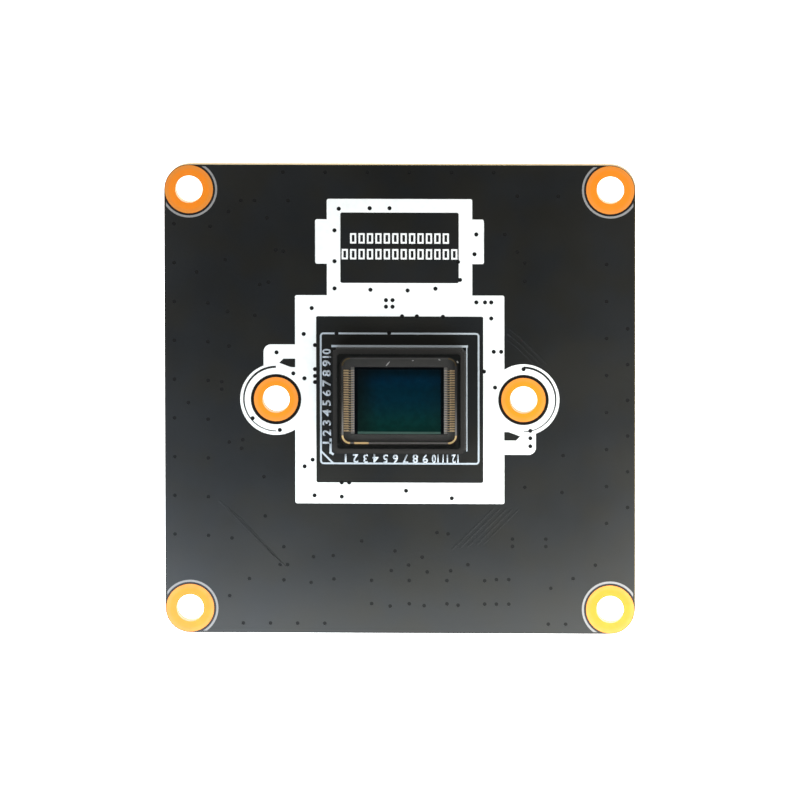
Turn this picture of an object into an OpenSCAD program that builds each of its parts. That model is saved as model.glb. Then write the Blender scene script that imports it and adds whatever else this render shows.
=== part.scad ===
// Camera sensor board: an image sensor under its cover glass on a square circuit board,
// with the print that a lens holder is screwed over, and its support parts on the back.
// Lengths are in millimetres. The origin lies under the middle of the board, on the mating
// faces of the two connectors. +X is right and +Y is up as seen from the sensor's side, and
// +Z points out of the sensor.

/* [Board] */
// Board size along X
board_w = 38; // [37:0.5:44]
// Board size along Y
board_d = 38; // [37:0.5:44]
// Finished board thickness, with both solder masks
board_t = 1.6; // [0.8:0.1:2.4]
// Radius of the board's corners
corner_r = 2; // [1.5:0.25:2]
// Thickness of a solder mask
mask_t = 0.03; // [0.02:0.01:0.05]
// Gap between a plated pad and the solder mask round it
mask_gap = 0.06; // [0.06:0.01:0.15]

/* [Screw holes] */
// Corner hole's centre to the board's edges
corner_hole_inset = 2; // [2:0.1:3]
// Clear diameter of the four corner holes
corner_hole_d = 2.2; // [1.8:0.1:2.6]
// Outer diameter of a corner hole's plated pad
corner_pad_d = 3.9; // [3.2:0.05:3.95]
// Distance between the two lens-holder holes
holder_pitch = 20; // [19.4:0.1:21]
// Clear diameter of the two lens-holder holes
holder_hole_d = 2.2; // [1.8:0.1:2.4]
// Outer diameter of a lens-holder hole's plated pad
holder_pad_d = 3.58; // [3.2:0.02:3.8]
// Wall of the plating inside a hole
plating_t = 0.05; // [0.03:0.01:0.1]
// Thickness of a plated pad on the board's face
pad_t = 0.045; // [0.04:0.005:0.08]

/* [Vias] */
// Diameter of a plugged via
via_d = 0.3; // [0.2:0.02:0.36]
// How far a plug's end lies under the mask's face
via_dip = 0.02; // [0.01:0.005:0.025]
// Ink kept off a via, all round
via_ink_gap = 0.02; // [0.01:0.01:0.08]

/* [Print] */
// Thickness of the white print
print_t = 0.03; // [0.02:0.01:0.05]
// Width of the print's thin lines
line_w = 0.14; // [0.1:0.02:0.24]
// Print's corner rounding
print_r = 0.15; // [0.05:0.05:0.3]
// Sensor outline, size along X between line centres
outline_w = 12.75; // [12.2:0.05:12.9]
// Sensor outline, size along Y between line centres
outline_d = 10.55; // [10.2:0.05:11]
// Sensor outline's middle, above the board's middle
outline_y = 0.08; // [0:0.02:0.2]
// Sensor outline's cut corner
outline_cut = 1; // [0.8:0.05:1.2]
// Width of the bracket lines beside the sensor
bracket_w = 0.18; // [0.12:0.02:0.24]
// Gap between the sensor and a bracket line's middle
bracket_gap = 0.1; // [0.1:0.01:0.16]
// First contact's bracket, how far it lies outside the others
bracket_step = 0.17; // [0.1:0.01:0.24]
// First contact's bracket, its end from the board's middle
bracket_end = 3.25; // [3:0.05:3.8]
// Lens-holder footprint, inner size
foot_window = 13.5; // [13.2:0.1:14]
// Width of the lens-holder footprint's band
foot_band = 1.7; // [1.5:0.05:2]
// Radius of the footprint's round ears
ear_r = 2.9; // [2.85:0.01:3.3]
// Print kept off a lens-holder pad, all round
ear_pad_gap = 0.26; // [0.1:0.01:0.3]
// Inner radius of the ear's dark gap line
ear_gap_r = 2.54; // [2.4:0.01:2.6]
// Width of the ear's dark gap line
ear_gap_w = 0.13; // [0.08:0.01:0.18]
// How much broader the gap line is at its upper end
ear_gap_skew = 0.05; // [0:0.01:0.08]
// Ear's arrow, its length
arrow_l = 1.3; // [1:0.05:1.4]
// Ear's arrow, its width
arrow_w = 0.7; // [0.5:0.05:0.8]
// Ear's arrow, its middle above the hole's middle
arrow_y = 2.95; // [2.9:0.05:3.2]
// Label box above the footprint, outer width
box_w = 11.74; // [10:0.02:13]
// Label box, height above the footprint
box_d = 7.8; // [6:0.1:9]
// Label box, width of its side bands
box_side_band = 1.09; // [0.8:0.01:1.4]
// Label box, width of its top band
box_top_band = 1.1; // [0.8:0.05:1.6]
// Label box, width of its bottom band
box_low_band = 1; // [0.6:0.05:1.6]
// Label box's side tabs, how far they stand out
box_tab_w = 0.94; // [0.5:0.02:1.4]
// Label box's side tabs, length
box_tab_d = 3.6; // [2:0.1:4]
// Label box's side tabs, their middle above the footprint
box_tab_rise = 4.35; // [4:0.05:4.6]
// Boxes in the label's upper row
upper_marks = 12; // [8:1:12]
// Boxes in the label's lower row
lower_marks = 14; // [8:1:14]
// Distance between the label's boxes
mark_pitch = 0.68; // [0.6:0.01:0.69]
// Height of the label's boxes
mark_d = 0.84; // [0.6:0.02:0.9]
// Width of the label's boxes
mark_w = 0.5; // [0.4:0.02:0.54]
// Line width of the label's boxes
mark_line = 0.14; // [0.1:0.01:0.18]
// Distance between the label's rows
mark_rows = 1.28; // [1:0.02:1.6]
// Label rows' middle, above the middle of their window
mark_y = 0.12; // [0:0.02:0.4]
// Ear tab's outer side, from the middle of its hole
ear_tab_out = 1; // [0.6:0.1:1.6]
// Ear tab's end, from the middle of its hole
ear_tab_end = 4.45; // [4:0.05:5]
// Ear tab's corner radius
ear_tab_r = 0.6; // [0.3:0.05:0.9]
// Corner arc's inner radius
arc_r = 2.12; // [2.05:0.01:2.4]
// Corner arc's line width
arc_w = 0.17; // [0.12:0.01:0.3]
// Print kept off the board's edge
print_edge_gap = 0.15; // [0.1:0.05:0.6]

/* [Sensor package] */
// Package middle, from the board's middle along X
sensor_x = 0; // [-0.1:0.01:0.1]
// Package middle, from the board's middle along Y
sensor_y = 0; // [-0.1:0.01:0.1]
// Package size along X
package_w = 10.65; // [10.5:0.05:10.7]
// Package size along Y
package_d = 8.45; // [8.3:0.05:8.5]
// Package height without its glass
package_h = 1.45; // [1.3:0.05:1.8]
// Package floor thickness
package_floor = 0.5; // [0.3:0.05:0.6]
// Radius of the notches in the package's corners
package_notch_r = 0.22; // [0.1:0.02:0.3]
// Cavity size along X
cavity_w = 9.34; // [9.34:0.02:9.5]
// Cavity size along Y
cavity_d = 7.05; // [6.8:0.05:7.15]
// Cavity corner radius
cavity_r = 0.7; // [0.4:0.05:0.8]
// Width of the plated ring along the cavity's wall
ledge_ring_w = 0.14; // [0.08:0.01:0.14]
// Plated ring kept off the cavity's wall
ledge_ring_gap = 0.02; // [0.01:0.01:0.02]
// Plated bar on the ring, its length
ledge_bar_l = 1.15; // [0.8:0.05:1.4]
// Plated bar on the ring, its middle from the package's middle
ledge_bar_x = -3.05; // [-3.2:0.05:-2.8]
// Width of the step round the cavity's mouth
mouth_step = 0.1; // [0.05:0.01:0.14]
// Depth of the step round the cavity's mouth
mouth_depth = 0.08; // [0.04:0.02:0.16]
// Height of the solder under the package
solder_t = 0.08; // [0.05:0.01:0.15]
// Diameter of one solder land
land_d = 0.5; // [0.3:0.05:0.6]
// Distance between solder lands
land_pitch = 0.8; // [0.7:0.05:0.8]
// Solder lands in a row along X
land_columns = 12; // [8:1:12]
// Solder lands in a column along Y
land_rows = 10; // [6:1:10]

/* [Sensor chip] */
// Chip size along X
die_w = 7.8; // [7.4:0.05:7.8]
// Chip size along Y
die_d = 5.4; // [5:0.05:6]
// Chip thickness
die_t = 0.35; // [0.2:0.05:0.5]
// Thickness of the glue under the chip
die_glue_t = 0.03; // [0.02:0.01:0.06]
// Gap between the chip and its pocket
pocket_gap = 0.03; // [0.02:0.01:0.03]
// Light-sensitive area along X
pixel_w = 6.7; // [6:0.05:6.9]
// Light-sensitive area along Y
pixel_d = 5; // [4.5:0.05:5.1]
// Thickness of the colour filters over the pixels
pixel_t = 0.015; // [0.01:0.005:0.03]
// Bond wires on each side
wires_per_side = 26; // [10:1:26]
// Distance between bond wires
wire_pitch = 0.195; // [0.15:0.005:0.195]
// Bond wire diameter
wire_d = 0.036; // [0.02:0.002:0.06]
// Bond pad on the chip, size along X
die_pad_l = 0.27; // [0.1:0.01:0.3]
// Bond pad and finger width
finger_w = 0.12; // [0.08:0.01:0.14]
// Bond finger length on the package's ledge
finger_l = 0.4; // [0.3:0.02:0.4]
// Thickness of bond pads and fingers
finger_t = 0.02; // [0.01:0.005:0.03]
// Gap between the chip's pocket and a bond finger
finger_gap = 0.16; // [0.05:0.01:0.16]

/* [Cover glass] */
// Glass size along X
glass_w = 10.05; // [9.8:0.05:10.3]
// Glass size along Y
glass_d = 7.8; // [7.6:0.05:8.1]
// Glass thickness
glass_t = 0.5; // [0.3:0.05:0.8]
// Cut corners of the glass
glass_corner = 0.15; // [0.05:0.05:0.3]
// Thickness of the glue under the glass
seal_t = 0.05; // [0.03:0.01:0.1]
// Glue kept in from the glass's edge
seal_inset = 0.06; // [0.02:0.01:0.1]

/* [Connectors] */
// Connector height, from the board to its mating face
connector_h = 3; // [2.4:0.1:4]
// Connector width without its contacts' feet
connector_w = 4; // [3.8:0.1:4.4]
// Contacts in one row
contacts_per_row = 20; // [10:1:24]
// Distance between contacts
contact_pitch = 0.5; // [0.4:0.05:0.5]
// Contact width
contact_w = 0.2; // [0.14:0.02:0.26]
// Contact sheet thickness
contact_t = 0.14; // [0.1:0.01:0.18]
// How far a contact's foot stands out of the housing
foot_l = 0.45; // [0.3:0.05:0.7]
// Solid end of the housing, beyond the last contact
housing_end = 1.85; // [1.6:0.05:2.4]
// Outer wall of the housing
housing_wall = 0.55; // [0.4:0.05:0.7]
// Floor of the housing
housing_floor = 0.7; // [0.5:0.05:0.9]
// Width of the housing's middle rib
rib_w = 0.9; // [0.6:0.05:1.1]
// How far the rib lies under the mating face
rib_dip = 0.4; // [0.2:0.05:0.6]
// Play of a contact in its slot
slot_play = 0.03; // [0.02:0.01:0.06]
// Contact feet to the board's edge
connector_edge_gap = 1.8; // [1.4:0.1:2]
// Hold-down clip, width
clip_w = 2.4; // [1.6:0.1:3]
// Hold-down clip, foot length
clip_foot = 0.9; // [0.6:0.1:1.4]
// Hold-down clip, height
clip_h = 1.5; // [1:0.1:2]
// Hold-down clip, sheet thickness
clip_t = 0.2; // [0.12:0.02:0.3]

/* [Regulators] */
// Regulator body along its pin rows
regulator_l = 2.9; // [2.6:0.05:3]
// Regulator body across its pin rows
regulator_w = 1.6; // [1.4:0.05:1.8]
// Regulator height above the board
regulator_h = 1.1; // [0.9:0.05:1.3]
// Gap under a regulator's body
regulator_lift = 0.08; // [0.05:0.01:0.12]
// Draft of a regulator's sides
regulator_draft = 0.1; // [0.05:0.01:0.15]
// Distance between a regulator's pins
pin_pitch = 0.95; // [0.9:0.05:1]
// Pin width
pin_w = 0.4; // [0.3:0.05:0.5]
// Pin sheet thickness
pin_t = 0.15; // [0.1:0.01:0.2]
// Tip to tip across a regulator's pins
pin_span = 2.8; // [2.6:0.05:3]
// Length of a pin's foot
pin_foot = 0.4; // [0.3:0.05:0.45]
// Distance between regulators
regulator_pitch = 3.15; // [3.1:0.05:3.4]
// First regulator's middle along X
regulator_x = -1.6; // [-2.5:0.1:-1]
// Regulators' middle along Y
regulator_y = -15.6; // [-15.9:0.1:-15.2]

/* [Oscillator] */
// Oscillator size along X
oscillator_l = 3.2; // [2.5:0.1:3.4]
// Oscillator size along Y
oscillator_w = 2.5; // [2:0.1:2.6]
// Height of the oscillator's ceramic base
oscillator_base_h = 0.45; // [0.3:0.05:0.6]
// Height of the oscillator's metal lid
oscillator_lid_h = 0.35; // [0.2:0.05:0.5]
// Lid set in from the base
oscillator_step = 0.15; // [0.1:0.05:0.3]
// Oscillator corner radius
oscillator_r = 0.3; // [0.2:0.05:0.4]
// Oscillator middle along X
oscillator_x = -7.2; // [-8:0.1:-6.6]
// Oscillator middle along Y
oscillator_y = -12.6; // [-13.2:0.1:-12]

/* [Chip parts] */
// Share of a chip part's length that one metal end takes
end_share = 0.24; // [0.15:0.01:0.3]
// How far a metal end stands proud of the body
end_lip = 0.02; // [0.01:0.005:0.04]
// Distance between decoupling capacitors along X
decoupling_pitch_x = 3; // [2.6:0.1:3.2]
// Distance between decoupling capacitors along Y
decoupling_pitch_y = 2; // [1.6:0.1:2.2]
// Supply capacitors' middles, above the regulators'
supply_rise = 3; // [2.8:0.1:3.2]
// Supply capacitor, from its regulator's middle along X
supply_offset = 0.75; // [0.6:0.05:0.8]
// Bulk capacitors, from the board's middle along X
bulk_x = 9.3; // [9:0.1:9.6]
// Bulk capacitors, from the board's middle along Y
bulk_y = 6.2; // [6:0.1:6.6]
// Resistors, above the board's middle
resistor_y = 10.5; // [10:0.1:11]
// Distance between resistors
resistor_pitch = 2; // [1.4:0.1:2.2]
// First ferrite bead's middle along X
bead_x = 11.2; // [11:0.1:11.4]
// Distance between ferrite beads
bead_pitch = 1.4; // [1.2:0.1:1.5]
// Decoupling capacitor: length, width and height
decoupling_size = [1, 0.5, 0.5];
// Supply capacitor: length, width and height
supply_size = [1.6, 0.8, 0.8];
// Bulk capacitor: length, width and height
bulk_size = [2, 1.25, 1.2];
// Resistor: length, width and height
resistor_size = [1, 0.5, 0.35];
// Ferrite bead: length, width and height
bead_size = [1.6, 0.8, 0.7];

/* [Hidden] */
$fn = 48;
cut = 0.1; // how far a cutting solid runs past the face it opens
sides = [-1, 1];

// Levels, from the connectors' mating faces up
z_back = connector_h;
z_core = z_back + mask_t;
core_t = board_t - 2 * mask_t;
z_core_top = z_core + core_t;
z_front = z_back + board_t;
z_package = z_front + solder_t;
z_ledge = package_floor + die_glue_t + die_t;
z_glue = z_package + package_floor;
z_die = z_glue + die_glue_t;
z_die_top = z_die + die_t;
z_seal = z_package + package_h;
z_glass = z_seal + seal_t;

// Places of the holes
corner_x = board_w / 2 - corner_hole_inset;
corner_y = board_d / 2 - corner_hole_inset;
holder_x = holder_pitch / 2;

// Lens-holder print
foot_w = foot_window + 2 * foot_band;
box_top = foot_w / 2 + box_d;
box_window_d = box_d - box_top_band - box_low_band;
box_window_mid = foot_w / 2 + box_low_band + box_window_d / 2;
box_tab_mid = foot_w / 2 + box_tab_rise;

// Rows on the chip and on the package's ledge
die_pad_gap = 0.01; // between a pad and the chip's edge
die_pad_x = die_w / 2 - die_pad_l / 2 - die_pad_gap;
finger_x = die_w / 2 + pocket_gap + finger_gap + finger_l / 2;

// Connectors
contact_span = (contacts_per_row - 1) * contact_pitch;
housing_l = contact_span + 2 * housing_end;
connector_x = board_w / 2 - connector_edge_gap - foot_l - connector_w / 2;
row_room = 1; // room that a housing leaves for its contact row, past both ends
well_end = 0.4; // how much thicker a housing's end wall is than its side wall
key_cut = 0.8; // length and depth of the cut corner in a housing's wall
blade_dip = 0.1; // how far a contact's blade ends under the rib's face
blade_h = connector_h - rib_dip - blade_dip;

// Back parts, each as its middle and its turn
regulators = [for (i = [0:3]) regulator_x + i * regulator_pitch];
supply_row_y = regulator_y + supply_rise;
upright = 90; // turn of a chip part that lies along Y
decoupling_places = concat(
    [for (i = [-1.5:1.5], j = [-1.5:1.5]) [i * decoupling_pitch_x, j * decoupling_pitch_y, 0]],
    [[oscillator_x - oscillator_l / 2 - decoupling_size.x, oscillator_y, upright]]
);
supply_places = [for (x = regulators, s = sides) [x + s * supply_offset, supply_row_y, upright]];
bulk_places = [for (sx = sides, sy = sides) [sx * bulk_x, sy * bulk_y, upright]];
resistor_places = [for (i = [-2.5:2.5]) [i * resistor_pitch, resistor_y, upright]];
bead_places = [for (i = [0:2]) [bead_x + i * bead_pitch, supply_row_y, upright]];

// Vias: rows along the edges and beside the connectors follow a pitch
edge_via_inset = 0.6; // from the upper and the right edge
far_via_inset = 0.78; // from the lower and the left edge
right_via_x = board_w / 2 - 2.3; // row beside the right connector
left_via_x = 3.5 - board_w / 2; // row beside the left connector
function row(x, y, dx, dy, n) = [for (i = [0:n - 1]) [x + i * dx, y + i * dy]];
edge_vias = concat(
    row(-9.4, board_d / 2 - edge_via_inset, 3.4, 0, 6),
    row(far_via_inset - board_w / 2, -11, 0, 3.15, 9),
    row(board_w / 2 - edge_via_inset, -8.7, 0, 2.9, 6),
    row(-12.7, far_via_inset - board_d / 2, 2.2, 0, 4),
    row(12, far_via_inset - board_d / 2, 1.4, 0, 2)
);
connector_vias = concat(
    row(left_via_x, -11.1, 0, 3.15, 7),
    row(right_via_x, -10, 0, 3, 8)
);
supply_vias = concat(
    row(-2.3, -14.7, 3.05, 0, 4),
    row(-2.3, -16.6, 3.05, 0, 4),
    row(-0.8, -16.8, 2.75, 0.05, 3),
    row(7.8, -14.6, 1, 0, 2),
    row(7.8, -16.6, 1, 0, 2),
    row(9.1, -11.3, 2.7, 0, 2),
    row(9.1, -11.9, 2.7, 0, 2),
    row(-9.7, -13.45, 0.6, 0, 2)
);
// Vias under the lens-holder print, its box first
print_vias = [
    [-4.9, 15.45], [-2.4, 15.5], [-0.8, 15.5], [-5.25, 13.7], [-5.25, 11.2], [-5.25, 9],
    [-2.35, 8.9], [0.65, 8.85], [2.9, 9], [4.88, 9.72], [4.72, 11.18], [6.2, 13.4], [6.05, 11.8],
    [-1.1, 8.06], [-0.57, 8.06], [-1.1, 7.53], [-0.57, 7.53],
    [6.2, 7.9], [6.9, 7.9], [7.4, 7.9], [7.4, 6.6], [-7.1, 7.4],
    [-7.75, 5.3], [-8.6, 2.1], [-7.7, 1.7], [-9.95, 3.8], [-9.7, -2.5], [-11.9, -1.55],
    [7.6, 3.9], [8.2, 3.9], [10, 2.5], [7.7, 1], [10.55, -2.5], [10.55, -3.1], [10.55, -3.75],
    [-7.05, -4.9], [-7.7, -5.45], [-6.9, -7.8], [-4.7, -7.9], [0.5, -7.4], [4.2, -8],
    [-6.84, 4.4], [-6.84, 2.45], [-6.84, 1.9], [-6.84, 1.4], [6.8, 2.3],
    [0.2, 6.75], [1.4, 6.75], [3.5, 6.72], [-4.7, -6.75], [-4.1, -6.75],
    [-5.1, 5.36], [-0.85, 5.4]
];
// Vias in the open fields of the board
field_vias = [
    [-12.8, 16.1], [-11.7, 16.1], [-9, 16.1], [-10.7, 14.7], [-15.3, 14], [-13.8, 15.2],
    [-10, 12.1], [-9.4, 12], [-14.1, 11.3], [-16.4, 10.3], [-11.3, 9.3], [-10.6, 9.5],
    [-13.9, 7.1], [-11.7, 6.8], [-13.8, 4.3], [-14.4, 1.4], [-14.4, 0.8], [-17.1, -0.3],
    [9.5, 16.5], [12.8, 16.5], [8.5, 13.4], [9.5, 12], [10.1, 11.1], [10.1, 9.6],
    [-13.8, -3.5], [-12.7, -3.3], [-12.8, -4], [-11, -6.3], [-10.9, -9.5], [-13.6, -11.3],
    [-9.4, -12], [-7, -12.8], [-5.4, -12.7], [-3.1, -11.5], [-0.4, -12.3], [-12.2, -14.6],
    [-9.4, -14.7], [-7.2, -14.9], [-5.35, -14.6], [-0.7, -13.9], [-13.8, -16],
    [13.2, -4.5], [13.1, -7.5], [10.1, -7.1], [3, -10.8], [3.9, -10.9], [1.8, -12.8],
    [0.7, -13.45], [5.5, -13.4], [2.2, -14], [4.1, -13.9], [14, -14.5], [12.2, -15.3],
    [15.8, -13.4]
];
vias = concat(edge_vias, connector_vias, supply_vias, print_vias, field_vias);

// ---- shared shapes ----

module rounded_rect(w, d, r) {
    square([w - 2 * r, d], center = true);
    square([w, d - 2 * r], center = true);
    for (sx = sides, sy = sides)
        translate([sx * (w / 2 - r), sy * (d / 2 - r)]) circle(r);
}

module ring(outer_r, inner_r) {
    difference() {
        circle(outer_r);
        circle(inner_r);
    }
}

module board_outline() {
    rounded_rect(board_w, board_d, corner_r);
}

module at_corners() {
    for (sx = sides, sy = sides)
        translate([sx * corner_x, sy * corner_y]) children();
}

module at_holders() {
    for (sx = sides)
        translate([sx * holder_x, 0]) children();
}

module at_vias() {
    for (p = vias)
        translate(p) children();
}

module at_sensor(z) {
    translate([sensor_x, sensor_y, z]) children();
}

// Puts a part that is drawn standing on z = 0 under the board
module on_back(x, y, turn = 0) {
    translate([x, y, z_back]) mirror([0, 0, 1]) rotate(turn) children();
}

// ---- board ----

module circuit_board() {
    color([0.72, 0.6, 0.3]) translate([0, 0, z_core]) linear_extrude(core_t) difference() {
        board_outline();
        at_corners() circle(corner_hole_d / 2 + plating_t);
        at_holders() circle(holder_hole_d / 2 + plating_t);
        at_vias() circle(via_d / 2, $fn = 24);
    }
}

module solder_mask(z) {
    color([0.12, 0.12, 0.12]) translate([0, 0, z]) linear_extrude(mask_t) difference() {
        board_outline();
        at_corners() circle(corner_pad_d / 2 + mask_gap);
        at_holders() circle(holder_pad_d / 2 + mask_gap);
        at_vias() circle(via_d / 2, $fn = 24);
    }
}

module via_plugs() {
    color([0.07, 0.07, 0.07]) translate([0, 0, z_back + via_dip])
        for (p = vias)
            translate(p) cylinder(h = board_t - 2 * via_dip, d = via_d, $fn = 24);
}

// Plated hole: a tube through the board with a flat ring on each face
module plated_hole(hole_d, pad_d) {
    color([1, 0.62, 0.16]) difference() {
        union() {
            translate([0, 0, z_core]) cylinder(h = core_t, d = hole_d + 2 * plating_t);
            translate([0, 0, z_core_top]) cylinder(h = pad_t, d = pad_d);
            translate([0, 0, z_core - pad_t]) cylinder(h = pad_t, d = pad_d);
        }
        translate([0, 0, z_core - pad_t - cut])
            cylinder(h = core_t + 2 * pad_t + 2 * cut, d = hole_d);
    }
}

module corner_pad(sx, sy) {
    translate([sx * corner_x, sy * corner_y, 0]) plated_hole(corner_hole_d, corner_pad_d);
}

module holder_pad(sx) {
    translate([sx * holder_x, 0, 0]) plated_hole(holder_hole_d, holder_pad_d);
}

// ---- print ----

module printed() {
    color([0.96, 0.98, 0.98]) translate([0, 0, z_front]) linear_extrude(print_t) children();
}

module line(a, b, w) {
    run = b - a;
    translate(a) rotate(atan2(run.y, run.x)) translate([-w / 2, -w / 2])
        square([norm(run) + w, w]);
}

// Ear round the left lens-holder hole, with its tab towards +Y
module left_ear() {
    translate([-holder_x, 0]) {
        circle(ear_r);
        translate([-ear_tab_out, 0]) difference() {
            square([holder_x - foot_w / 2 + ear_tab_out + foot_band / 2, ear_tab_end]);
            translate([0, ear_tab_end - ear_tab_r]) square(ear_tab_r);
        }
        translate([ear_tab_r - ear_tab_out, ear_tab_end - ear_tab_r]) circle(ear_tab_r);
    }
}

// Dark gap line on the left ear's outer half, a little broader at its upper end
module left_ear_gap() {
    translate([-holder_x, 0]) difference() {
        translate([0, ear_gap_skew]) circle(ear_gap_r + ear_gap_w);
        circle(ear_gap_r);
        translate([0, -ear_r]) square(2 * ear_r);
    }
}

// Arrow in the left ear's tab, pointing outwards
module left_ear_arrow() {
    half = arrow_w / 2;
    translate([arrow_l / 5 - holder_x, arrow_y]) polygon([
        [0, 0], [half, half], [arrow_l, half], [arrow_l, -half], [arrow_l - half, -half]
    ]);
}

module label_box() {
    translate([-box_w / 2, 0]) square([box_w, box_top - print_r]);
    translate([0, box_top - box_d / 2]) rounded_rect(box_w, box_d, print_r);
    translate([0, box_tab_mid]) rounded_rect(box_w + 2 * box_tab_w, box_tab_d, print_r);
}

module holder_print() {
    printed() difference() {
        union() {
            rounded_rect(foot_w, foot_w, print_r);
            label_box();
            left_ear();
            rotate(180) left_ear();
        }
        rounded_rect(foot_window, foot_window, print_r);
        translate([0, box_window_mid])
            rounded_rect(box_w - 2 * box_side_band, box_window_d, print_r);
        at_holders() circle(holder_pad_d / 2 + ear_pad_gap);
        for (turn = [0, 1]) {
            mirror([turn, 0]) left_ear_gap();
            rotate(180 * turn) left_ear_arrow();
        }
        at_vias() circle(via_d / 2 + via_ink_gap, $fn = 24);
    }
}

// Arcs round the corner holes, on the sides that face the board
module corner_print() {
    printed() intersection() {
        rounded_rect(board_w - 2 * print_edge_gap, board_d - 2 * print_edge_gap,
            corner_r - print_edge_gap);
        for (sx = sides, sy = sides)
            translate([sx * corner_x, sy * corner_y]) difference() {
                ring(arc_r + arc_w, arc_r);
                translate([sx * arc_r, sy * arc_r]) square(2 * arc_r, center = true);
            }
    }
}

// Open boxes in the label window, in two rows
module mark_row(count, y) {
    for (i = [0:count - 1])
        translate([(i - (count - 1) / 2) * mark_pitch, y]) difference() {
            square([mark_w, mark_d], center = true);
            square([mark_w - 2 * mark_line, mark_d - 2 * mark_line], center = true);
        }
}

module label_marks() {
    printed() translate([0, box_window_mid + mark_y]) {
        mark_row(upper_marks, mark_rows / 2);
        mark_row(lower_marks, -mark_rows / 2);
    }
}

module sensor_outline_print() {
    left = -outline_w / 2;
    low = outline_y - outline_d / 2;
    x = package_w / 2 + bracket_gap;
    y = package_d / 2 + bracket_gap;
    first_x = -x - bracket_step;
    printed() difference() {
        union() {
            translate([0, outline_y]) difference() {
                rounded_rect(outline_w + line_w, outline_d + line_w, 2 * print_r);
                rounded_rect(outline_w - line_w, outline_d - line_w, print_r);
            }
            // Cut corner that marks the first contact, and its bracket
            line([left, low + outline_cut], [left + outline_cut, low], line_w);
            line([first_x, -bracket_end], [first_x, -y], bracket_w);
            line([first_x, -y], [-x, -y - bracket_gap], bracket_w);
            // Bracket along the upper side, and a thin line down the right side
            line([-x, y], [x, y], bracket_w);
            line([x, y], [x, bracket_w - y], bracket_w / 2);
        }
        at_vias() circle(via_d / 2 + via_ink_gap, $fn = 24);
    }
}

// ---- sensor ----

module solder_lands() {
    columns = land_columns - 1;
    rows = land_rows - 1;
    color([0.75, 0.75, 0.76]) at_sensor(z_front)
        for (i = [0:columns], j = [0:rows])
            if (min(i, columns - i, j, rows - j) < 2)
                translate([(i - columns / 2) * land_pitch, (j - rows / 2) * land_pitch, 0])
                    cylinder(h = solder_t, d = land_d);
}

module sensor_package() {
    color([0.11, 0.1, 0.09]) at_sensor(z_package) difference() {
        linear_extrude(package_h) difference() {
            square([package_w, package_d], center = true);
            for (sx = sides, sy = sides)
                translate([sx * package_w / 2, sy * package_d / 2]) circle(package_notch_r);
        }
        translate([0, 0, z_ledge]) linear_extrude(package_h)
            rounded_rect(cavity_w, cavity_d, cavity_r);
        translate([0, 0, package_h - mouth_depth]) linear_extrude(package_h)
            rounded_rect(cavity_w + 2 * mouth_step, cavity_d + 2 * mouth_step, cavity_r + mouth_step);
        translate([0, 0, package_floor]) linear_extrude(package_h)
            rounded_rect(die_w + 2 * pocket_gap, die_d + 2 * pocket_gap, pocket_gap);
    }
}

// Plated ring along the cavity's wall
module ring_outline() {
    w = cavity_w - 2 * ledge_ring_gap;
    d = cavity_d - 2 * ledge_ring_gap;
    r = cavity_r - ledge_ring_gap;
    difference() {
        rounded_rect(w, d, r);
        rounded_rect(w - 2 * ledge_ring_w, d - 2 * ledge_ring_w, r - ledge_ring_w);
    }
}

module ledge_ring() {
    color([0.5, 0.47, 0.42]) at_sensor(z_package + z_ledge) linear_extrude(finger_t)
        ring_outline();
}

// Gold marks on the ring: its four corners and a bar in its lower side
module package_marks() {
    corner_x = cavity_w / 2 - cavity_r;
    corner_y = cavity_d / 2 - cavity_r;
    color([0.85, 0.7, 0.4]) at_sensor(z_package + z_ledge + finger_t) linear_extrude(finger_t)
        intersection() {
            ring_outline();
            union() {
                for (sx = sides, sy = sides)
                    translate([sx * (corner_x + cavity_r / 2), sy * (corner_y + cavity_r / 2)])
                        square(cavity_r, center = true);
                translate([ledge_bar_x - ledge_bar_l / 2, -cavity_d / 2])
                    square([ledge_bar_l, cavity_r]);
            }
        }
}

module chip_glue() {
    color([0.6, 0.6, 0.58]) at_sensor(z_glue) linear_extrude(die_glue_t)
        square([die_w, die_d], center = true);
}

module sensor_chip() {
    color([0.05, 0.05, 0.06]) at_sensor(z_die) linear_extrude(die_t)
        square([die_w, die_d], center = true);
}

module pixel_array() {
    color([0.02, 0.16, 0.2]) at_sensor(z_die_top) linear_extrude(pixel_t)
        square([pixel_w, pixel_d], center = true);
}

module finger_rows(x, length) {
    for (s = sides, i = [0:wires_per_side - 1])
        translate([s * x, (i - (wires_per_side - 1) / 2) * wire_pitch])
            square([length, finger_w], center = true);
}

module chip_pads() {
    color([0.6, 0.56, 0.52]) at_sensor(z_die_top) linear_extrude(finger_t)
        finger_rows(die_pad_x, die_pad_l);
}

module bond_fingers() {
    color([0.66, 0.55, 0.38]) at_sensor(z_package + z_ledge) linear_extrude(finger_t)
        finger_rows(finger_x, finger_l);
}

// Each wire is a half loop from a pad on the chip to a finger on the ledge
module bond_wires() {
    span = finger_x - die_pad_x;
    color([0.9, 0.72, 0.35]) at_sensor(z_die_top + finger_t)
        for (s = sides, i = [0:wires_per_side - 1])
            translate([s * (die_pad_x + span / 2), (i - (wires_per_side - 1) / 2) * wire_pitch, 0])
                rotate([90, 0, 0]) rotate_extrude(angle = 180, $fn = 32)
                    translate([span / 2, 0]) circle(d = wire_d, $fn = 16);
}

module glass_outline(inset) {
    w = glass_w - 2 * inset;
    d = glass_d - 2 * inset;
    c = glass_corner;
    polygon([
        [c - w / 2, -d / 2], [w / 2 - c, -d / 2], [w / 2, c - d / 2], [w / 2, d / 2 - c],
        [w / 2 - c, d / 2], [c - w / 2, d / 2], [-w / 2, d / 2 - c], [-w / 2, c - d / 2]
    ]);
}

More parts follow.
